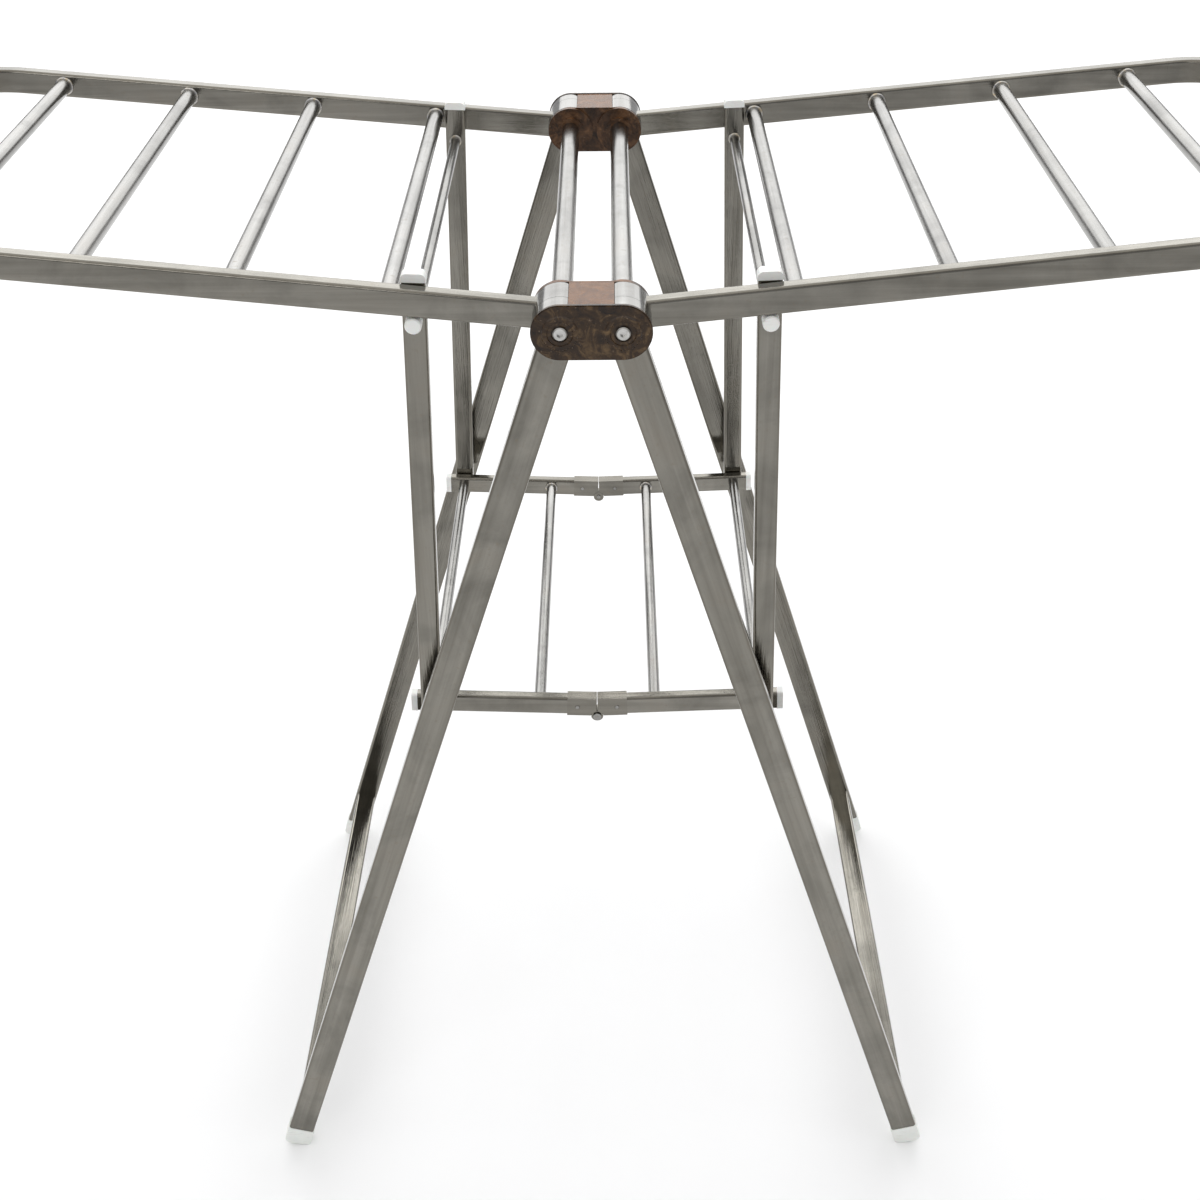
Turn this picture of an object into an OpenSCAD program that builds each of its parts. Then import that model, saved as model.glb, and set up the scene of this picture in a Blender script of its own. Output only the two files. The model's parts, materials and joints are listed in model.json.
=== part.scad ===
// Folding wing-type clothes drying rack in polished steel tube.
// Two leg frames and two wing frames turn on a pair of hub rods. A jointed
// shelf spreads the legs, and two prop frames standing on the shelf axles
// carry the wing rails.
// Millimetres. X runs across the rack, Y from front to rear, Z up.
// The origin is on the floor, midway between the four feet.

/* [Legs] */
// Angle of each leg from the vertical in the open position, degrees
leg_angle = 17.8; // [16:0.1:19]
// Leg tube length from the hub axis to its cut lower end
leg_len = 932; // [920:1:960]
// Width of the leg tube, seen from the front
leg_w = 25; // [22:0.5:26]
// Depth of the leg tube, front to rear
leg_d = 12.5; // [11:0.5:12.5]
// Overall depth of the rack over the leg tubes
frame_depth = 472; // [472:1:490]
// Distance along the leg from the hub axis to the floor bar
floor_bar_at = 888; // [860:1:900]
// Width of the floor bar tube
floor_bar_w = 22; // [18:0.5:24]
// Thickness of the floor bar tube
floor_bar_t = 10; // [8:0.5:12]
// Length of the foot plug below the leg tube
foot_len = 22.4; // [18:0.2:26]

/* [Hub] */
// Half distance between the two hub axes
hub_half = 22.3; // [22:0.1:24]
// Radius of the rounded ends of the hub covers
hub_r = 21; // [20.8:0.1:21.6]
// Radius of the steel collars on the leg and wing tubes
collar_r = 20.6; // [20:0.1:20.7]
// Diameter of the hub rods
hub_rod_d = 16; // [14:0.5:18]
// Thickness of the hub cover plates
cover_t = 3.2; // [3:0.1:4]

/* [Wings] */
// Rise of the wing rails above the horizontal, degrees
wing_angle = 5.6; // [5.4:0.1:5.8]
// Inward taper of each wing rail, degrees
wing_taper = 1.1; // [0.9:0.1:1.3]
// Height of the wing tube
wing_h = 20.8; // [20:0.1:21]
// Depth of the wing tube
wing_d = 12.5; // [11:0.5:12.5]
// Length of the straight wing rail, from the hub axis to the bend
rail_len = 499; // [480:1:540]
// Centre-line radius of the bends at the wing's outer corners
bend_r = 70; // [50:1:90]
// Distance from the hub axis to the first hanging rod
rod_first = 125.2; // [125:0.1:128]
// Spacing of the hanging rods
rod_pitch = 112.4; // [100:0.1:114]
// Diameter of the hanging rods
rod_d = 13.5; // [12:0.1:13.6]

/* [Shelf] */
// Distance along the leg from the hub axis to the shelf axle
axle_at = 389.3; // [380:0.1:400]
// Slope of each shelf half down to the middle, degrees
shelf_sag = 2.1; // [1.9:0.1:2.3]
// Height of the shelf rails
shelf_h = 17.4; // [16:0.1:18]
// Depth of the shelf rails
shelf_d = 10; // [9:0.5:10]
// Length of each shelf rail outside its axle
shelf_tail = 13.4; // [12:0.2:18]
// Gap between the end of each shelf rail and the middle
shelf_gap = 0.5; // [0.5:0.1:2]
// Distance of the loose shelf rod from the middle of the shelf
shelf_rod_at = 49.5; // [40:0.5:80]
// Diameter of the shelf rods and axles
axle_d = 9.9; // [9:0.1:10]

/* [Props] */
// Inward lean of the props from the vertical, degrees
prop_lean = 1.95; // [1.9:0.05:2.2]
// Width of the prop tube, seen from the front
prop_w = 18; // [16:0.1:18]
// Depth of the prop tube
prop_d = 10; // [9:0.5:10]
// Height of the prop tube above its axle
prop_up = 392.4; // [388:0.1:393]
// Height of the knobs' crossbar above the shelf axle
knob_up = 363.5; // [362:0.1:363.6]
// Diameter of the knobs under the wing rails
knob_d = 12.4; // [11:0.1:12.6]
// Diameter of the crossbar that joins the two props
crossbar_d = 8.6; // [7:0.1:9]

/* [Hidden] */
$fn = 48;
wall = 1;              // tube wall
corner = 2.4;          // outside corner radius of the rectangular tubes
bore_play = 0.15;      // diameter play of a running fit
plug_proud = 0.7;      // how far a plug's rim stands outside its tube
foot_corner = 6;       // corner radius at the bottom of a foot
foot_flat = 1.2;       // depth ground off the foot where it meets the floor
spigot = 14;           // length of a plug inside its tube
mark_half = 0.6;       // half length of the ring left by the tube bender
mark_rise = 0.06;      // height of that ring

// Height of the hub axes above the floor
foot_end = leg_len + foot_len;
foot_half = leg_w / 2 + plug_proud;
hub_z = (foot_end - foot_corner) * cos(leg_angle)
    + (foot_half - foot_corner) * sin(leg_angle) + foot_corner - foot_flat;

// Layers from front to rear, as distances from the middle plane
leg_y = (frame_depth - leg_d) / 2;
leg_in = frame_depth / 2 - leg_d;
cover_in = frame_depth / 2 + 0.8;
cover_out = cover_in + cover_t;
leg_collar = [leg_in - 0.5, frame_depth / 2 + 0.5];
wing_collar = [leg_in - 25.5, leg_in - 0.9];
block_in = leg_in - 30;
block_plate = leg_in - 26.1;
rail_y = leg_in - 15.25;
prop_out = leg_in - 24.1;
prop_y = prop_out - prop_d / 2;
shelf_out = prop_out - prop_d - 0.8;
shelf_y = shelf_out - shelf_d / 2;
shelf_in = shelf_out - shelf_d;

// Shelf axle, shelf hinge axis and rail inner end, right side
axle_x = hub_half + axle_at * sin(leg_angle);
axle_z = hub_z - axle_at * cos(leg_angle);
hinge_drop = 9.7;      // hinge axis below the shelf rail's centre line
hinge_x = -(axle_x + hinge_drop * sin(shelf_sag)) / cos(shelf_sag);
rail_end = -(axle_x - shelf_gap) / cos(shelf_sag);
rod_x = -(axle_x - shelf_rod_at) / cos(shelf_sag);

// Hinge hardware
knuckle_r = 5.2;
knuckle_clear = 5.6;
hinge_pin_d = 3.9;
sleeve_t = 0.3;
sleeve_len = 25.3;
rivet_at = 17;         // distance of each rivet from the middle of the shelf
rivet_d = 3;
rivet_x = rivet_at - axle_x / cos(shelf_sag);
knuckle_y = [for (k = [0 : 3]) shelf_in + 0.2 + 3.2 * k];

// ---- shared shapes ----

// Rounded rectangle centred on the origin
module rounded(w, h, r) {
    square([w - 2 * r, h], center = true);
    square([w, h - 2 * r], center = true);
    for (x = [-1, 1], y = [-1, 1])
        translate([x * (w / 2 - r), y * (h / 2 - r)]) circle(r);
}

// Section of a rectangular tube
module tube_section(w, h) {
    difference() {
        rounded(w, h, corner);
        rounded(w - 2 * wall, h - 2 * wall, corner - wall);
    }
}

// Round bar along Y between two distances
module y_bar(d, y0, y1) {
    translate([0, y0, 0]) rotate([-90, 0, 0]) cylinder(d = d, h = y1 - y0);
}

// Round tube along Y, centred on the origin
module y_tube(d, len) {
    difference() {
        y_bar(d, -len / 2, len / 2);
        y_bar(d - 2 * wall, -len / 2 - 1, len / 2 + 1);
    }
}

// Right-hand parts are drawn in place, left-hand ones are their mirror image
module on_left() {
    mirror([1, 0, 0]) children();
}

// The rear half is the mirror image of the front half
module at_rear() {
    mirror([0, 1, 0]) children();
}

module front_and_rear() {
    children();
    at_rear() children();
}

// ---- frames of the moving parts, right side ----

// Leg: origin on the hub axis, leg along -Z, outside of the rack towards +X
module leg_space() {
    translate([hub_half, 0, hub_z]) rotate([0, -leg_angle, 0]) children();
}

// Wing: origin on the hub axis, rails along +X
module wing_space() {
    translate([hub_half, 0, hub_z]) rotate([0, -wing_angle, 0]) children();
}

// Prop: origin on the shelf axle, prop along +Z
module prop_space() {
    translate([axle_x, 0, axle_z]) rotate([0, -prop_lean, 0]) children();
}

// Shelf half: origin on the shelf axle, middle of the shelf towards -X
module shelf_space() {
    translate([axle_x, 0, axle_z]) rotate([0, -shelf_sag, 0]) children();
}

// ---- hub ----

// Stadium-shaped plate in the X-Z plane from y0 to y1 (front side, negative y)
module hub_plate(r, y0, y1) {
    translate([0, -y0, hub_z]) rotate([90, 0, 0]) linear_extrude(y1 - y0) {
        for (x = [-1, 1]) translate([x * hub_half, 0]) circle(r);
        square([2 * hub_half, 2 * r], center = true);
    }
}

// Cover with a raised ring and a counterbore round each screw
module hub_cover() {
    ring_out = 13.4;
    ring_in = 9.6;
    ring_h = 0.9;
    bevel = 1;
    sink = 1.2;
    sink_d = 12.8;
    screw_hole = 6.2;
    color("saddlebrown") difference() {
        union() {
            hub_plate(hub_r, cover_in, cover_out - bevel);
            hub_plate(hub_r - bevel * 0.6, cover_in, cover_out);
            for (x = [-1, 1]) translate([x * hub_half, -cover_out, hub_z]) rotate([90, 0, 0])
                cylinder(r1 = ring_out, r2 = ring_out - ring_h, h = ring_h);
        }
        for (x = [-1, 1]) translate([x * hub_half, -cover_out, hub_z]) rotate([90, 0, 0]) {
            translate([0, 0, 0.2]) cylinder(r1 = ring_in - 0.6, r2 = ring_in, h = ring_h);
            translate([0, 0, -sink]) cylinder(d = sink_d, h = sink + 2);
            translate([0, 0, -cover_t - 1]) cylinder(d = screw_hole, h = cover_t + 2);
        }
    }
}

// Inner plate with the waisted block that stands between the four collars
module hub_block() {
    top = hub_r - 0.6;
    bottom = 12;
    waist = 32.4;
    lobe = 2.6;
    boss = 1.2;
    boss_d = 24;
    color("sienna") difference() {
        union() {
            hub_plate(hub_r - 0.5, block_in + lobe, block_plate);
            for (x = [-1, 1]) translate([x * hub_half, 0, hub_z]) {
                y_bar(2 * hub_r - 1, -block_in - lobe - 0.1, -block_in);
                y_bar(boss_d, -block_in - 0.1, -block_in + boss);
            }
            difference() {
                translate([-waist / 2, -cover_in + 0.2, hub_z - bottom])
                    cube([waist, cover_in - 0.2 - block_plate, top + bottom]);
                for (x = [-1, 1]) translate([x * hub_half, 0, hub_z])
                    y_bar(2 * collar_r + 0.7, -cover_in - 1, -block_plate);
            }
        }
        for (x = [-1, 1]) translate([x * hub_half, 0, hub_z]) y_bar(hub_rod_d, -cover_in - 1, 0);
    }
}

// Hollow rod that carries the collars, tapped at both ends for its screws
module hub_rod() {
    end = cover_in - 0.1;
    plugged = 42;
    tapped_d = 6;
    rod_wall = 1.5;
    color("gainsboro") translate([hub_half, 0, hub_z]) difference() {
        y_bar(hub_rod_d, -end, end);
        y_bar(tapped_d, -end - 1, end + 1);
        y_bar(hub_rod_d - 2 * rod_wall, -end + plugged, end - plugged);
    }
}

// Socket button screw through a cover into the end of a hub rod
module hub_screw() {
    seat = cover_out - 1.2;
    head_d = 10.4;
    head_h = 2.4;
    crown_d = 8.8;
    crown_h = 0.8;
    thread_d = 5.9;
    thread_len = 20;
    socket_d = 4.8;
    color("whitesmoke") translate([hub_half, 0, hub_z]) difference() {
        union() {
            y_bar(thread_d, -seat - 1, -seat + thread_len);
            translate([0, -seat, 0]) rotate([90, 0, 0]) cylinder(d = head_d, h = head_h);
            translate([0, -seat - head_h, 0]) rotate([90, 0, 0])
                cylinder(d1 = head_d, d2 = crown_d, h = crown_h);
        }
        translate([0, -seat - 1.2, 0]) rotate([90, 30, 0])
            cylinder(d = socket_d, h = 4, $fn = 6);
    }
}

module hub_screws() {
    front_and_rear() {
        hub_screw();
        on_left() hub_screw();
    }
}

// ---- legs ----

// One straight leg tube, cut to fit its collar and bored for the shelf axle
module leg_tube() {
    color("silver") leg_space() difference() {
        translate([0, -leg_y, -leg_len]) linear_extrude(leg_len) tube_section(leg_w, leg_d);
        y_bar(2 * collar_r, -frame_depth, 0);
        translate([0, 0, -axle_at]) y_bar(axle_d, -leg_y, 0);
    }
}

// Collar ring from one layer to another, turning on the hub rod
module collar(layer) {
    color("lightgray") translate([hub_half, 0, hub_z]) difference() {
        y_bar(2 * collar_r, -layer[1], -layer[0]);
        y_bar(hub_rod_d + bore_play, -layer[1] - 1, -layer[0] + 1);
    }
}

// Bar welded between the front and rear leg of one side
module floor_bar() {
    color("silver") leg_space() translate([0, leg_in, -floor_bar_at])
        rotate([90, 0, 0]) linear_extrude(2 * leg_in) tube_section(floor_bar_w, floor_bar_t);
}

// Plastic plug at the end of a leg, ground flat where it stands on the floor
module foot() {
    rim_d = leg_d + 2 * plug_proud;
    color("whitesmoke") intersection() {
        leg_space() union() {
            translate([0, -leg_y + rim_d / 2, -foot_end]) rotate([90, 0, 0]) linear_extrude(rim_d) {
                translate([-foot_half, foot_corner]) square([2 * foot_half, foot_len - foot_corner]);
                translate([-foot_half + foot_corner, 0])
                    square([2 * (foot_half - foot_corner), foot_len]);
                for (x = [-1, 1]) translate([x * (foot_half - foot_corner), foot_corner])
                    circle(foot_corner);
            }
            translate([0, -leg_y, -leg_len]) linear_extrude(spigot)
                rounded(leg_w - 2 * wall - 0.2, leg_d - 2 * wall - 0.2, corner - wall);
        }
        translate([0, -frame_depth, 0]) cube([frame_depth, frame_depth, frame_depth]);
    }
}

// Sleeve that keeps the prop off the leg on the shelf axle
module axle_spacer() {
    spacer_d = 13;
    color("silver") translate([axle_x, 0, axle_z]) difference() {
        y_bar(spacer_d, -leg_in, -prop_out - 0.3);
        y_bar(axle_d, -leg_in - 1, -prop_out + 1);
    }
}

// Full-width axle through both props and both shelf rails
module full_axle() {
    color("gainsboro") translate([axle_x, 0, axle_z]) y_tube(axle_d, 2 * leg_y);
}

// Short studs: the far shelf half is free of them while it folds
module axle_stud() {
    color("gainsboro") translate([axle_x, 0, axle_z]) y_bar(axle_d, -leg_y, -shelf_out - 0.4);
}

// ---- wings ----

// Slight ring the bender leaves where a bend starts, across the tube at the origin
module bend_mark() {
    linear_extrude(2 * mark_half, center = true) difference() {
        rounded(wing_d + 2 * mark_rise, wing_h + 2 * mark_rise, corner + mark_rise);
        rounded(wing_d - 2 * wall - 2 * mark_rise, wing_h - 2 * wall - 2 * mark_rise,
            corner - wall - mark_rise);
    }
}

// Places its children across the rail at a distance from the hub
module at_rail(s) {
    translate([0, rail_y, 0]) rotate([0, 0, -wing_taper]) translate([s, 0, 0])
        rotate([90, 0, 90]) children();
}

// Two tapering rails and the end bar, bent from one tube
module wing_frame() {
    play = mark_half / 2;
    play_angle = play / bend_r * 180 / PI;
    bend_x = rail_len * cos(wing_taper) - bend_r * sin(wing_taper);
    bend_y = rail_y - rail_len * sin(wing_taper) - bend_r * cos(wing_taper);
    color("silver") wing_space() {
        difference() {
            front_and_rear() at_rail(0) linear_extrude(rail_len - play)
                tube_section(wing_d, wing_h);
            y_bar(2 * collar_r, -frame_depth, frame_depth);
        }
        front_and_rear() {
            at_rail(rail_len) bend_mark();
            translate([bend_x, bend_y, 0]) rotate([0, 0, play_angle])
                rotate_extrude(angle = 90 - wing_taper - 2 * play_angle, $fn = 72)
                translate([bend_r, 0]) tube_section(wing_d, wing_h);
            translate([bend_x + bend_r, bend_y, 0]) rotate([90, 0, 0]) bend_mark();
        }
        translate([bend_x + bend_r, bend_y - play, 0]) rotate([90, 0, 0])
            linear_extrude(2 * (bend_y - play)) tube_section(wing_d, wing_h);
    }
}

// Hanging rod between the wing rails, counted from the hub
module hanging_rod(i) {
    s = rod_first + (i - 1) * rod_pitch;
    half = rail_y - s * tan(wing_taper) - wing_d / 2 / cos(wing_taper);
    color("lightgray") wing_space() translate([s, 0, 0]) y_tube(rod_d, 2 * half);
}

// ---- props ----

// Upright that stands on the shelf axle and carries one wing rail
module prop_tube() {
    foot_below = 13;
    color("silver") prop_space() difference() {
        translate([0, -prop_y, -foot_below]) linear_extrude(prop_up + foot_below)
            tube_section(prop_w, prop_d);
        y_bar(axle_d + bore_play, -frame_depth, 0);
        translate([0, 0, knob_up]) y_bar(crossbar_d, -frame_depth, 0);
    }
}

// Plug with rounded shoulders on top of a prop
module prop_plug() {
    shoulder = 4.5;
    proud = 6.6;
    half = prop_w / 2 + 0.3;
    rim_d = prop_d + 0.6;
    color("whitesmoke") prop_space() translate([0, -prop_y, prop_up]) {
        translate([0, rim_d / 2, 0]) rotate([90, 0, 0]) linear_extrude(rim_d) intersection() {
            union() {
                translate([-half, 0]) square([2 * half, proud - shoulder]);
                translate([-half + shoulder, 0]) square([2 * (half - shoulder), proud]);
                for (x = [-1, 1])
                    translate([x * (half - shoulder), proud - shoulder]) circle(shoulder);
            }
            translate([-half, 0]) square([2 * half, proud]);
        }
        translate([0, 0, -spigot]) linear_extrude(spigot + 0.5)
            rounded(prop_w - 2 * wall - 0.2, prop_d - 2 * wall - 0.2, corner - wall);
    }
}

// Round bar through both props, with a knob on each end
module crossbar() {
    end = prop_out + 8;
    color("gainsboro") prop_space() translate([0, 0, knob_up]) y_tube(crossbar_d, 2 * end);
}

module knob() {
    out = prop_out + 12;
    color("whitesmoke") prop_space() translate([0, 0, knob_up]) difference() {
        union() {
            y_bar(knob_d, -out + 1, -prop_out);
            translate([0, -out + 1, 0]) rotate([90, 0, 0])
                cylinder(d1 = knob_d, d2 = knob_d - 2, h = 1);
        }
        y_bar(crossbar_d, -prop_out - 8, 0);
    }
}

// ---- shelf ----

// One rail of a shelf half; play is the diameter play of its axle bore
module shelf_rail(play) {
    color("silver") shelf_space() difference() {
        translate([rail_end, -shelf_y, 0]) rotate([90, 0, 90])
            linear_extrude(shelf_tail - rail_end) tube_section(shelf_d, shelf_h);
        y_bar(axle_d + play, -frame_depth, 0);
        translate([hinge_x, 0, -hinge_drop]) y_bar(2 * knuckle_clear, -frame_depth, 0);
        translate([rivet_x, 0, 0]) y_bar(rivet_d, -frame_depth, 0);
    }
}

// Rod between the two rails of a shelf half
module shelf_rod() {
    color("lightgray") shelf_space() translate([rod_x, 0, 0]) y_tube(axle_d, 2 * shelf_in);
}

// The right half keeps its own outer rod, flush with its rails
module right_shelf_axle() {
    color("lightgray") translate([axle_x, 0, axle_z]) y_tube(axle_d, 2 * shelf_out - 0.2);
}

// Plug in the outer end of a shelf rail
module shelf_plug() {
    proud = 5;
    color("whitesmoke") shelf_space() translate([shelf_tail, -shelf_y, 0]) rotate([90, 0, 90]) {
        linear_extrude(proud) rounded(shelf_d + 0.6, shelf_h + 0.8, corner);
        translate([0, 0, -5]) linear_extrude(5.5)
            rounded(shelf_d - 2 * wall - 0.2, shelf_h - 2 * wall - 0.2, corner - wall);
    }
}

// Pressed sleeve round the inner end of a rail, with the knuckles of this half
module hinge_bracket(first, count) {
    h = shelf_h + 2 * sleeve_t;
    d = shelf_d + 2 * sleeve_t;
    color("darkgray") shelf_space() difference() {
        union() {
            difference() {
                translate([rail_end, -shelf_y - d / 2, -h / 2]) cube([sleeve_len, d, h]);
                translate([rail_end - 1, -shelf_y - shelf_d / 2, -shelf_h / 2])
                    cube([sleeve_len + 2, shelf_d, shelf_h]);
                translate([hinge_x, 0, -hinge_drop]) y_bar(2 * knuckle_clear, -frame_depth, 0);
            }
            for (k = [0 : count - 1]) knuckle(first + 2 * k, h);
        }
        translate([hinge_x, 0, -hinge_drop])
            y_bar(hinge_pin_d + (count == 1 ? bore_play : 0), -frame_depth, 0);
        translate([rivet_x, 0, 0]) y_bar(rivet_d, -frame_depth, 0);
    }
}

// Knuckle number k, joined to the sleeve's bottom web
module knuckle(k, h) {
    y = -knuckle_y[k] - 3;
    translate([hinge_x, 0, -hinge_drop]) y_bar(2 * knuckle_r, y, y + 3);
    translate([hinge_x + 4.6, y, -h / 2]) cube([3, 3, sleeve_t]);
}

// Pin through the three knuckles, with a low head at each end
module hinge_pin() {
    head_d = 7;
    color("silver") shelf_space() translate([hinge_x, 0, -hinge_drop]) {
        y_bar(hinge_pin_d, -shelf_out - 0.6, -shelf_in + 0.6);
        y_bar(head_d, -shelf_out - 1.2, -shelf_out - 0.2);
    }
}

// Rivet through the sleeve and the rail
module hinge_rivet() {
    d = shelf_d + 2 * sleeve_t;
    head_d = 4.2;
    head_h = 0.6;
    color("silver") shelf_space() translate([rivet_x, -shelf_y, 0]) {
        y_bar(rivet_d, -d / 2, d / 2);
        for (s = [0, 180]) rotate([0, 0, s]) translate([0, -d / 2, 0]) rotate([90, 0, 0])
            cylinder(d1 = head_d, d2 = rivet_d, h = head_h);
    }
}

// ---- nodes ----

hub_cover();  // front_hub_cover
at_rear() hub_cover();  // rear_hub_cover
hub_block();  // front_hub_block
at_rear() hub_block();  // rear_hub_block
on_left() hub_rod();  // left_hub_rod
hub_rod();  // right_hub_rod
hub_screws();

on_left() leg_tube();  // left_front_leg
on_left() at_rear() leg_tube();  // left_rear_leg
on_left() floor_bar();  // left_floor_bar
on_left() front_and_rear() collar(leg_collar);  // left_leg_collars
on_left() foot();  // left_front_foot
on_left() at_rear() foot();  // left_rear_foot
on_left() full_axle();  // left_axle
on_left() front_and_rear() axle_spacer();  // left_axle_spacers

leg_tube();  // right_front_leg
at_rear() leg_tube();  // right_rear_leg
floor_bar();  // right_floor_bar
front_and_rear() collar(leg_collar);  // right_leg_collars
foot();  // right_front_foot
at_rear() foot();  // right_rear_foot
front_and_rear() axle_stud();  // right_axle_studs
front_and_rear() axle_spacer();  // right_axle_spacers

on_left() wing_frame();  // left_wing_frame
on_left() front_and_rear() collar(wing_collar);  // left_wing_collars
on_left() hanging_rod(1);  // left_rod_1
on_left() hanging_rod(2);  // left_rod_2
on_left() hanging_rod(3);  // left_rod_3
on_left() hanging_rod(4);  // left_rod_4

wing_frame();  // right_wing_frame
front_and_rear() collar(wing_collar);  // right_wing_collars
hanging_rod(1);  // right_rod_1
hanging_rod(2);  // right_rod_2
hanging_rod(3);  // right_rod_3
hanging_rod(4);  // right_rod_4

on_left() prop_tube();  // left_front_prop
on_left() at_rear() prop_tube();  // left_rear_prop
on_left() crossbar();  // left_crossbar
on_left() front_and_rear() knob();  // left_knobs
on_left() front_and_rear() prop_plug();  // left_prop_plugs

prop_tube();  // right_front_prop
at_rear() prop_tube();  // right_rear_prop
crossbar();  // right_crossbar
front_and_rear() knob();  // right_knobs
front_and_rear() prop_plug();  // right_prop_plugs

on_left() shelf_rail(bore_play);  // left_front_shelf_rail
on_left() at_rear() shelf_rail(bore_play);  // left_rear_shelf_rail
on_left() shelf_rod();  // left_shelf_rod
on_left() front_and_rear() shelf_plug();  // left_shelf_plugs
on_left() front_and_rear() hinge_bracket(0, 2);  // left_hinge_brackets
on_left() front_and_rear() hinge_pin();  // hinge_pins
on_left() front_and_rear() hinge_rivet();  // hinge_rivets_left

shelf_rail(0);  // right_front_shelf_rail
at_rear() shelf_rail(0);  // right_rear_shelf_rail
shelf_rod();  // right_shelf_rod
front_and_rear() shelf_plug();  // right_shelf_plugs
front_and_rear() hinge_bracket(1, 1);  // right_hinge_brackets
front_and_rear() hinge_rivet();  // hinge_rivets_right
right_shelf_axle();
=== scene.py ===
import json
import math
import random

import bmesh
import bpy
from mathutils import Matrix, Vector


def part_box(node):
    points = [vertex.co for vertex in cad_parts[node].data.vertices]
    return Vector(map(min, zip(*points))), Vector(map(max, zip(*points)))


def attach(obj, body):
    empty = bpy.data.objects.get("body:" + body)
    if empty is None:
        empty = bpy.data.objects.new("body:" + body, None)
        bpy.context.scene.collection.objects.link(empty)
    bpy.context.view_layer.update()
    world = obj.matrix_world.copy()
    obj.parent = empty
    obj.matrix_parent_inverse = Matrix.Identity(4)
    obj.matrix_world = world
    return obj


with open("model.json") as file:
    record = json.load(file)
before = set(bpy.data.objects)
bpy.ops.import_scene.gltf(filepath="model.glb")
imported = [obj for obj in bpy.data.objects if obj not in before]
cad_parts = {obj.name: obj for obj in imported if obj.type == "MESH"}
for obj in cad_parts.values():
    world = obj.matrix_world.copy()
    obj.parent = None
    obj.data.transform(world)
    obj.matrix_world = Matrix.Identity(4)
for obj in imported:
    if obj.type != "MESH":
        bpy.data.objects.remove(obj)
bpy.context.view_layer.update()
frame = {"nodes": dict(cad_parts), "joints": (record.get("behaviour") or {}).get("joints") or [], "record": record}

# ---------------------------------------------------------------- positions from the frame


def joint(name):
    return next(j for j in frame["joints"] if j["name"] == name)


HUB = Vector(joint("right_wing_lift")["pos_m"])
AXLE = Vector(joint("right_prop_swing")["pos_m"])
LEG_LEAN = math.asin((AXLE.x - HUB.x) / (AXLE - HUB).length)


# ---------------------------------------------------------------- node helpers


class Tree:
    """Short-hand for building a node tree."""

    def __init__(self, tree):
        self.tree = tree
        tree.nodes.clear()

    def add(self, kind, **inputs):
        node = self.tree.nodes.new(kind)
        for key, value in inputs.items():
            self.put(node, key, value)
        return node

    def put(self, node, key, value):
        slot = key if isinstance(key, int) else key.replace("_", " ")
        socket = node.inputs[slot]
        if isinstance(value, bpy.types.NodeSocket):
            self.tree.links.new(value, socket)
        else:
            socket.default_value = value

    def math(self, op, a, b=0.0, clamp=False):
        node = self.tree.nodes.new("ShaderNodeMath")
        node.operation = op
        node.use_clamp = clamp
        self.put(node, 0, a)
        self.put(node, 1, b)
        return node.outputs[0]

    def mix(self, factor, a, b, mode="MIX"):
        node = self.tree.nodes.new("ShaderNodeMix")
        node.data_type = "RGBA"
        node.blend_type = mode
        self.put(node, 0, factor)
        self.put(node, 6, a)
        self.put(node, 7, b)
        return node.outputs[2]

    def ramp(self, factor, stops):
        node = self.tree.nodes.new("ShaderNodeValToRGB")
        self.put(node, 0, factor)
        elements = node.color_ramp.elements
        while len(elements) < len(stops):
            elements.new(0.5)
        for element, (position, colour) in zip(elements, stops):
            element.position = position
            element.color = tuple(colour) + (1,)
        return node.outputs[0]

    def noise(self, vector, scale, detail=4.0, roughness=0.55, distortion=0.0):
        node = self.add("ShaderNodeTexNoise", Scale=scale, Detail=detail, Roughness=roughness,
                        Distortion=distortion)
        self.put(node, "Vector", vector)
        return node.outputs[0]

    def coords(self, stretch=(1, 1, 1), turn=(0, 0, 0)):
        """Object coordinates, turned and then scaled along each axis."""
        source = self.add("ShaderNodeTexCoord").outputs["Object"]
        node = self.tree.nodes.new("ShaderNodeMapping")
        node.vector_type = "TEXTURE"
        self.put(node, "Vector", source)
        node.inputs["Rotation"].default_value = turn
        node.inputs["Scale"].default_value = tuple(1 / s for s in stretch)
        return node.outputs[0]


def new_material(name):
    material = bpy.data.materials.new(name)
    material.use_nodes = True
    return material, Tree(material.node_tree)


def finish_material(t, shader):
    out = t.add("ShaderNodeOutputMaterial")
    t.tree.links.new(shader.outputs[0], out.inputs["Surface"])


# ---------------------------------------------------------------- materials

STEEL = (0.335, 0.322, 0.288)
BRACKET_STEEL = (0.31, 0.296, 0.262)
ROD_STEEL = (0.44, 0.438, 0.428)
SCREW_STEEL = (0.86, 0.86, 0.85)
GRIME = (0.2, 0.17, 0.13, 1)
BAND_SHADE = (0.3, 0.29, 0.265, 1)
# Painted shade for rounded tube corners: the colour they are darkened towards and how strongly.
CORNER_SHADE = (0.13, 0.115, 0.09, 1)
CORNER_SHADE_STRENGTH = 0.6
GRAIN_FINE, GRAIN_COARSE = 900.0, 12.0
COAT_ROUGHNESS = 0.12


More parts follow.
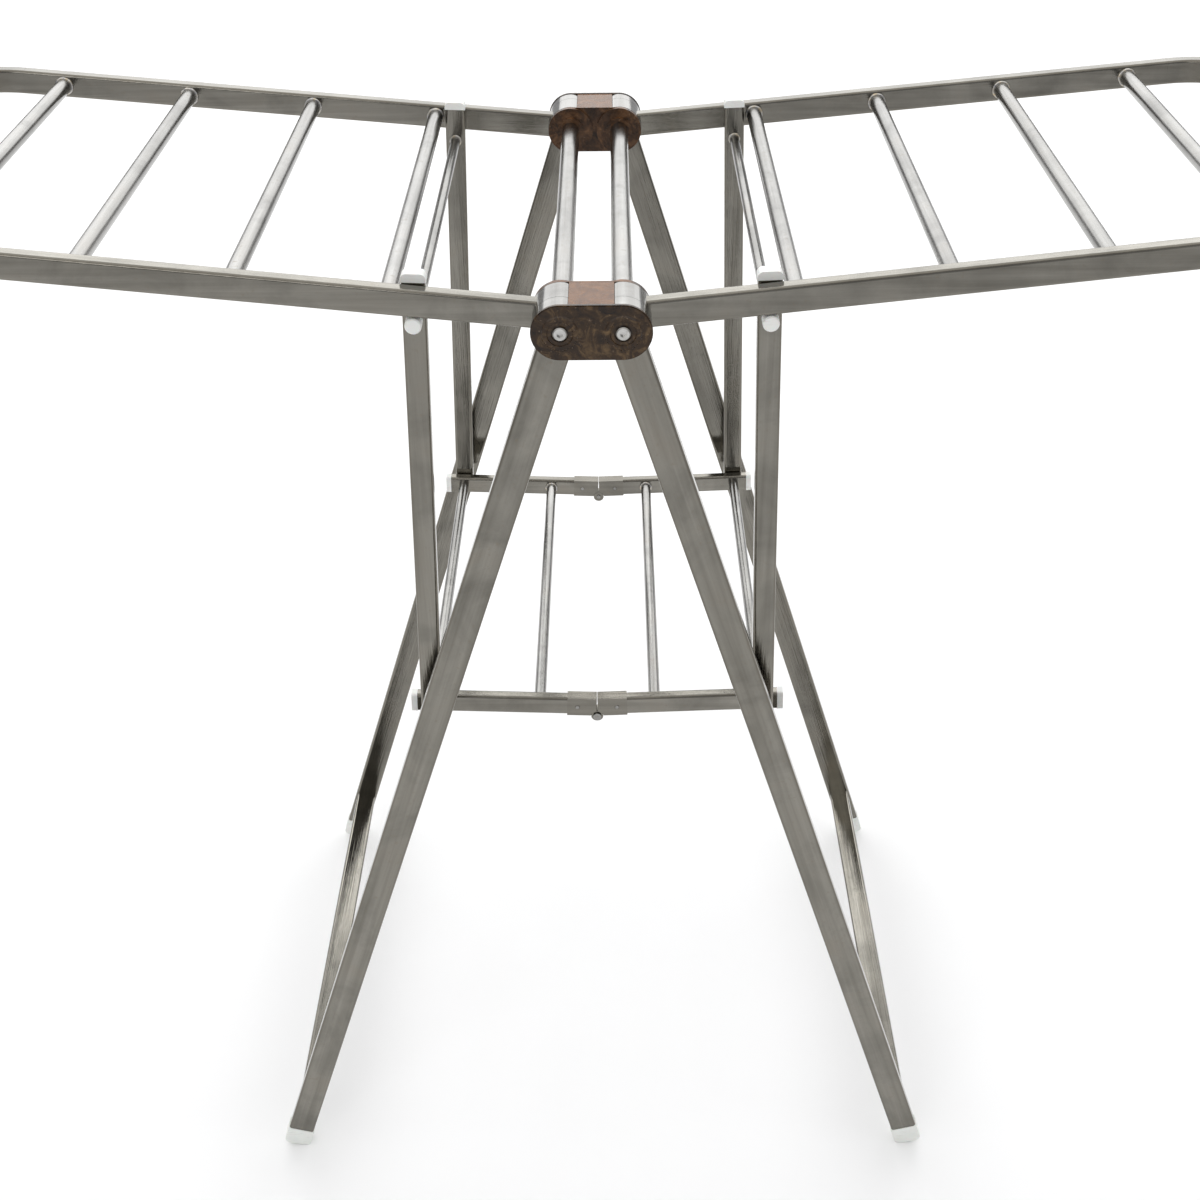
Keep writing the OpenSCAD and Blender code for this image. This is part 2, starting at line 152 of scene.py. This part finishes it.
def polished_steel(name, base, rough, turn=(0, 0, 0), along="z", stain=0.5, streaks=1.0):
    """Mill-polished tube: long streaks along it, a patchy warm film, specks, and rounded corners darkened with
    painted shade and made rougher.
    """
    material, t = new_material(name)
    stretch = tuple(GRAIN_COARSE if axis == along else GRAIN_FINE for axis in "xyz")
    grain_at = t.coords(stretch, turn)
    grain = t.noise(grain_at, 1.0, 3.0, 0.6)
    wide = tuple(GRAIN_COARSE / 3 if axis == along else GRAIN_FINE / 6 for axis in "xyz")
    broad = tuple(GRAIN_COARSE if axis == along else GRAIN_FINE / 40 for axis in "xyz")
    bands = t.noise(t.coords(wide, turn), 1.0, 4.0, 0.6)
    film = t.noise(t.coords(), 14.0, 5.0, 0.6, 0.6)
    spots = t.noise(t.coords(), 260.0, 2.0, 0.5)
    tone = t.ramp(film, [(0.3, [c * 0.70 for c in base]), (0.55, base),
                         (0.8, (base[0], base[1] * 0.955, base[2] * (1 - 0.16 * stain)))])
    tone = t.mix(t.math("MULTIPLY", bands, 0.85), tone, BAND_SHADE, "MULTIPLY")
    dust = t.math("MULTIPLY", t.math("SUBTRACT", spots, 0.62, True), 2.4, True)
    tone = t.mix(dust, tone, GRIME)
    # Painted shade: where the world normal lies between the Y axis and the cross axis (the rounded corners of the
    # tubes), the colour is darkened towards CORNER_SHADE, dulling their glints. These corners are also made
    # rougher.
    facing = t.add("ShaderNodeSeparateXYZ", Vector=t.add("ShaderNodeNewGeometry").outputs["Normal"])
    frontal = t.math("MULTIPLY", facing.outputs[1], facing.outputs[1])
    corner = t.math("MULTIPLY", t.math("MULTIPLY", frontal, t.math("SUBTRACT", 1.0, frontal)), 4.0, True)
    tone = t.mix(t.math("MULTIPLY", corner, CORNER_SHADE_STRENGTH), tone, CORNER_SHADE)
    roughness = t.math("ADD", t.math("MULTIPLY", grain, 0.10 * streaks), rough)
    roughness = t.math("ADD", roughness, t.math("MULTIPLY", film, 0.07))
    roughness = t.math("ADD", roughness, t.math("MULTIPLY", corner, 0.12))
    bump = t.add("ShaderNodeBump", Strength=0.16 * streaks, Distance=0.0004, Height=grain)
    swell = t.add("ShaderNodeBump", Strength=0.12, Distance=0.002,
                  Height=t.noise(t.coords(broad, turn), 1.0, 2.0))
    t.put(swell, "Normal", bump.outputs[0])
    shader = t.add("ShaderNodeBsdfPrincipled", Base_Color=tone, Metallic=1.0, Roughness=roughness,
                   Normal=swell.outputs[0])
    finish_material(t, shader)
    return material


def marbled_plastic(name, dark, mid, light, rough, coat, painted_top_light=0.0):
    """Glossy moulded plastic with drifting darker and lighter swirls; faces pointing up get painted light, a paler
    warmer tone.
    """
    material, t = new_material(name)
    at = t.coords()
    drift = t.noise(at, 22.0, 5.0, 0.6, 1.6)
    swirl = t.noise(at, 60.0, 6.0, 0.62, 2.4)
    tone = t.ramp(swirl, [(0.30, dark), (0.52, mid), (0.72, light)])
    tone = t.mix(t.math("MULTIPLY", drift, 0.6), tone, dark + (1,))
    fleck = t.math("MULTIPLY", t.math("SUBTRACT", t.noise(at, 420.0, 2.0), 0.66, True), 3.0, True)
    tone = t.mix(fleck, tone, (0.42, 0.30, 0.2, 1))
    # Painted light: faces whose world normal points up are shifted to a paler, warmer tone, as if lit from above.
    facing = t.add("ShaderNodeSeparateXYZ", Vector=t.add("ShaderNodeNewGeometry").outputs["Normal"])
    top = t.math("MULTIPLY", t.math("SUBTRACT", facing.outputs[2], 0.9, True), 10.0 * painted_top_light, True)
    pale = t.ramp(swirl, [(0.3, (0.10, 0.036, 0.008)), (0.7, (0.23, 0.092, 0.022))])
    tone = t.mix(top, tone, pale)
    wear = t.noise(at, 130.0, 4.0, 0.6)
    roughness = t.math("ADD", t.math("MULTIPLY", wear, 0.22), rough)
    bump = t.add("ShaderNodeBump", Strength=0.25, Distance=0.0006, Height=t.noise(at, 240.0, 3.0, 0.5))
    shader = t.add("ShaderNodeBsdfPrincipled", Base_Color=tone, Roughness=roughness, IOR=1.5,
                   Specular_IOR_Level=0.26, Coat_Weight=coat, Coat_Roughness=COAT_ROUGHNESS,
                   Normal=bump.outputs[0])
    finish_material(t, shader)
    return material


def white_plastic(name, tint):
    """Moulded polythene: fine grain, slight yellowing and handling marks."""
    material, t = new_material(name)
    at = t.coords()
    cloud = t.noise(at, 55.0, 4.0, 0.55, 0.4)
    marks = t.noise(t.coords((90, 90, 500)), 1.0, 4.0, 0.6)
    tone = t.ramp(cloud, [(0.3, [c * 0.93 for c in tint]), (0.7, tint)])
    grime = t.math("MULTIPLY", t.math("SUBTRACT", marks, 0.56, True), 1.6, True)
    tone = t.mix(grime, tone, (0.42, 0.40, 0.34, 1))
    roughness = t.math("ADD", t.math("MULTIPLY", cloud, 0.18), 0.34)
    bump = t.add("ShaderNodeBump", Strength=0.3, Distance=0.0003, Height=t.noise(at, 1500.0, 2.0))
    shader = t.add("ShaderNodeBsdfPrincipled", Base_Color=tone, Roughness=roughness, IOR=1.5,
                   Subsurface_Weight=0.06, Subsurface_Scale=0.004, Normal=bump.outputs[0])
    finish_material(t, shader)
    return material


def weld_metal(name):
    """Ground weld: rippled, with straw and blue-grey heat tints."""
    material, t = new_material(name)
    at = t.coords()
    heat = t.noise(at, 210.0, 3.0, 0.6, 0.8)
    tone = t.ramp(heat, [(0.3, (0.33, 0.33, 0.36)), (0.5, (0.62, 0.60, 0.56)), (0.7, (0.60, 0.49, 0.33))])
    roughness = t.math("ADD", t.math("MULTIPLY", heat, 0.3), 0.22)
    bump = t.add("ShaderNodeBump", Strength=0.5, Distance=0.0006, Height=t.noise(at, 700.0, 3.0))
    shader = t.add("ShaderNodeBsdfPrincipled", Base_Color=tone, Metallic=1.0, Roughness=roughness,
                   Normal=bump.outputs[0])
    finish_material(t, shader)
    return material


made = {
    "leg_left": polished_steel("leg steel left", STEEL, 0.03, (0, LEG_LEAN, 0)),
    "leg_right": polished_steel("leg steel right", STEEL, 0.03, (0, -LEG_LEAN, 0)),
    "floor_bar": polished_steel("floor bar steel", STEEL, 0.03, along="y"),
    "wing": polished_steel("wing steel", STEEL, 0.03, along="x"),
    "prop": polished_steel("prop steel", STEEL, 0.04),
    "shelf": polished_steel("shelf rail steel", STEEL, 0.06, along="x"),
    "rod": polished_steel("rod steel", ROD_STEEL, 0.14, along="y", streaks=1.3),
    "hub_rod": polished_steel("hub rod steel", ROD_STEEL, 0.13, along="y"),
    "collar": polished_steel("collar steel", ROD_STEEL, 0.05, along="y", stain=0.2, streaks=0.6),
    "screw": polished_steel("screw steel", SCREW_STEEL, 0.16, along="y", stain=0.1, streaks=0.4),
    "bracket": polished_steel("bracket steel", BRACKET_STEEL, 0.08, along="x", streaks=0.8),
    "rivet": polished_steel("rivet steel", ROD_STEEL, 0.16, along="y", streaks=0.5),
    "cover": marbled_plastic("cover brown", (0.010, 0.005, 0.003), (0.052, 0.027, 0.010),
                             (0.21, 0.13, 0.058), 0.14, 0.16),
    # The block's last argument paints light onto its up-facing top.
    "block": marbled_plastic("block brown", (0.012, 0.006, 0.003), (0.075, 0.034, 0.014),
                             (0.20, 0.10, 0.045), 0.16, 0.08, 0.85),
    "foot": white_plastic("foot plastic", (0.90, 0.92, 0.88)),
    "plug": white_plastic("plug plastic", (0.92, 0.93, 0.90)),
    "weld": weld_metal("weld metal"),
}

SLOT_MATERIAL = {
    "brown_cover": "cover", "brown_block": "block", "hub_rod": "hub_rod", "collar_steel": "collar",
    "screw_steel": "screw", "foot_plastic": "foot", "white_plastic": "plug", "leg_steel": "leg_left",
    "floor_bar_steel": "floor_bar", "wing_steel": "wing", "prop_steel": "prop",
    "shelf_steel": "shelf", "bracket_steel": "bracket", "rivet_steel": "rivet",
    "spacer_steel": "rod", "rod_steel": "rod",
}
slot_of = {s["node"]: s["material_slot"] for s in frame["record"]["subparts"]}
for name, obj in frame["nodes"].items():
    key = SLOT_MATERIAL[slot_of[name]]
    if key == "leg_left" and name.startswith("right"):
        key = "leg_right"
    obj.data.materials.clear()
    obj.data.materials.append(made[key])

# ---------------------------------------------------------------- weld beads

WELD_PROUD = 0.0003
WELD_THICK = 0.0011
CROSSBAR_WELD_THICK = 0.0010
WELD_INSET = 0.0006
RINGS, SIDES = 40, 8


def bead(name, body, at, axis, radius, thick, seed):
    """A slightly uneven ring of weld round the end of a rod or bar, as one closed mesh."""
    rng = random.Random(seed)
    waves = [(rng.randint(3, 9), rng.uniform(0, math.tau), rng.uniform(0.05, 0.12)) for _ in range(4)]
    turn = Vector(axis).to_track_quat("Z", "Y").to_matrix()
    mesh = bmesh.new()
    loops = []
    for i in range(RINGS):
        a = math.tau * i / RINGS
        swell = 1 + sum(h * math.sin(n * a + p) for n, p, h in waves)
        loop = []
        for k in range(SIDES):
            b = math.tau * k / SIDES
            r = radius + thick * swell * math.cos(b)
            z = thick * swell * math.sin(b)
            loop.append(mesh.verts.new(Vector(at) + turn @ Vector((r * math.cos(a), r * math.sin(a), z))))
        loops.append(loop)
    for i in range(RINGS):
        a, b = loops[i], loops[(i + 1) % RINGS]
        for k in range(SIDES):
            after = (k + 1) % SIDES
            mesh.faces.new((a[k], b[k], b[after], a[after]))
    bmesh.ops.recalc_face_normals(mesh, faces=mesh.faces)
    data = bpy.data.meshes.new(name)
    mesh.to_mesh(data)
    mesh.free()
    for face in data.polygons:
        face.use_smooth = True
    data.materials.append(made["weld"])
    obj = bpy.data.objects.new(name, data)
    bpy.context.scene.collection.objects.link(obj)
    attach(obj, body)


seed = 0
for side in ("left", "right"):
    rods = [(f"{side}_rod_{i}", f"{side}_wing") for i in (1, 2, 3, 4)]
    rods.append((f"{side}_shelf_rod", f"{side}_shelf"))
    for node, body in rods:
        low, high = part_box(node)
        mid = (low + high) / 2
        radius = (high.z - low.z) / 2
        for end, sign in (("front", -1), ("rear", 1)):
            seed += 1
            y = (low.y if sign < 0 else high.y) - sign * WELD_INSET
            bead(f"{node}_weld_{end}", body, (mid.x, y, mid.z), (0, 1, 0),
                 radius + WELD_PROUD, WELD_THICK, seed)

for side in ("left", "right"):
    low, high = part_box(f"{side}_crossbar")
    mid = (low + high) / 2
    inner = {"front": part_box(f"{side}_front_prop")[1].y, "rear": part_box(f"{side}_rear_prop")[0].y}
    for end, y in inner.items():
        seed += 1
        bead(f"{side}_crossbar_weld_{end}", f"{side}_prop", (mid.x, y, mid.z),
             (0, 1, 0), (high.z - low.z) / 2 + WELD_PROUD, CROSSBAR_WELD_THICK, seed)

# ---------------------------------------------------------------- stage

scene = bpy.context.scene
FLOOR_REACH = 12.0
FLOOR_Z = -0.0006
SURROUND = (0.44, 0.44, 0.444, 1)


def sheet_mesh(name, corners, material):
    """One flat face for the stage, not attached to any body of the object."""
    data = bpy.data.meshes.new(name)
    data.from_pydata(corners, [], [tuple(range(len(corners)))])
    data.materials.append(material)
    obj = bpy.data.objects.new(name, data)
    scene.collection.objects.link(obj)


def square(reach, z):
    """Corners of a level square round the origin."""
    return [(-reach, -reach, z), (reach, -reach, z), (reach, reach, z), (-reach, reach, z)]


floor_material, ft = new_material("pale floor")
floor_tone = ft.ramp(ft.noise(ft.coords(), 3.0, 3.0), [(0.3, (0.94, 0.94, 0.94)), (0.7, (0.96, 0.96, 0.96))])
floor_matt = ft.add("ShaderNodeBsdfPrincipled", Base_Color=floor_tone, Roughness=0.9,
                    Specular_IOR_Level=0.1)
finish_material(ft, floor_matt)
sheet_mesh("floor", square(FLOOR_REACH, FLOOR_Z), floor_material)

world = bpy.data.worlds.new("studio")
scene.world = world
world.use_nodes = True
w = Tree(world.node_tree)
surround = w.add("ShaderNodeBackground", Color=SURROUND, Strength=1.0)
world_out = w.add("ShaderNodeOutputWorld")
w.tree.links.new(surround.outputs[0], world_out.inputs["Surface"])


def area(name, at, target, size, power):
    """Soft rectangular light that faces a point; size in metres, power in watts."""
    light = bpy.data.lights.new(name, "AREA")
    light.shape = "RECTANGLE"
    light.size, light.size_y = size
    light.energy = power
    obj = bpy.data.objects.new(name, light)
    scene.collection.objects.link(obj)
    obj.location = at
    obj.rotation_euler = (Vector(target) - Vector(at)).to_track_quat("-Z", "Y").to_euler()


area("ceiling light", (0.0, 1.3, 3.0), (0, 1.3, 0), (9.0, 6.0), 150)
area("back light", (0.0, 4.8, 3.0), (0, 0, 0.7), (8.0, 3.0), 112)
area("front light", (-1.2, -2.8, 2.2), (0, 0, 0.6), (1.8, 1.4), 14)

# ---------------------------------------------------------------- camera

CAMERA_AT = Vector((0.01302, -1.26651, 1.39517))
YAW, PITCH, ROLL = math.radians(-0.51), math.radians(34.77), math.radians(-0.63)
LENS = 47.889
SENSOR_WIDTH = 36.0
forward = Vector((math.sin(YAW) * math.cos(PITCH), math.cos(YAW) * math.cos(PITCH), -math.sin(PITCH)))
level = Vector((math.cos(YAW), -math.sin(YAW), 0))
rise = level.cross(forward)
right = level * math.cos(ROLL) + rise * math.sin(ROLL)
up = -level * math.sin(ROLL) + rise * math.cos(ROLL)
camera_data = bpy.data.cameras.new("camera")
camera_data.lens = LENS
camera_data.sensor_width = SENSOR_WIDTH
camera = bpy.data.objects.new("camera", camera_data)
scene.collection.objects.link(camera)
turn = Matrix((right, up, -forward)).transposed().to_4x4()
camera.matrix_world = Matrix.Translation(CAMERA_AT) @ turn
scene.camera = camera
scene.view_settings.view_transform = "Standard"
